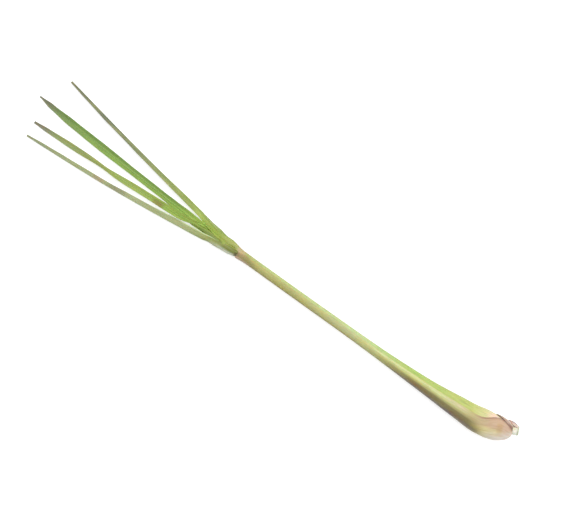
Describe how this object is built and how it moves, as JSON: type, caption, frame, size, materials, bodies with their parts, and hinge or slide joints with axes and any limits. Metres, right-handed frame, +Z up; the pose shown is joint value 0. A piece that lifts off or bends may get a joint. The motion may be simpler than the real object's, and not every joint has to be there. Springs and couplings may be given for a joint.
{
  "type": "lemongrass stalk",
  "caption": "Fresh lemongrass stalk cut at the root end, with a pale hooked bulb, overlapping rolled leaf sheaths and narrow trimmed blades that fan out at the tip.",
  "frame": {"origin": "middle of the small flat spot under the bulb that the stalk rests on", "axes": "+X along the stalk from the root end towards the blade tips, +Y to the side away from the fan's outermost blade, +Z up from the surface it lies on"},
  "size_m": [0.4679, 0.0643, 0.0205],
  "materials": {
    "culm": "moist pale cut stem, slightly fibrous",
    "outer_sheath": "smooth waxy sheath, tan and pink at the bulb, olive yellow along the stalk",
    "first_leaf": "smooth green sheath, matte grey-green ribbed blade",
    "second_leaf": "smooth olive sheath, matte pale grey-green ribbed blade",
    "third_leaf": "bright green ribbed blade, satin",
    "inner_leaf": "light green ribbed blade with a dried brown tip, satin"
  },
  "bodies": {
    "root": {"culm": "culm", "outer_sheath": "outer_sheath", "first_leaf": "first_leaf", "second_leaf": "second_leaf", "third_leaf": "third_leaf", "inner_leaf": "inner_leaf"}
  },
  "joints": []
}
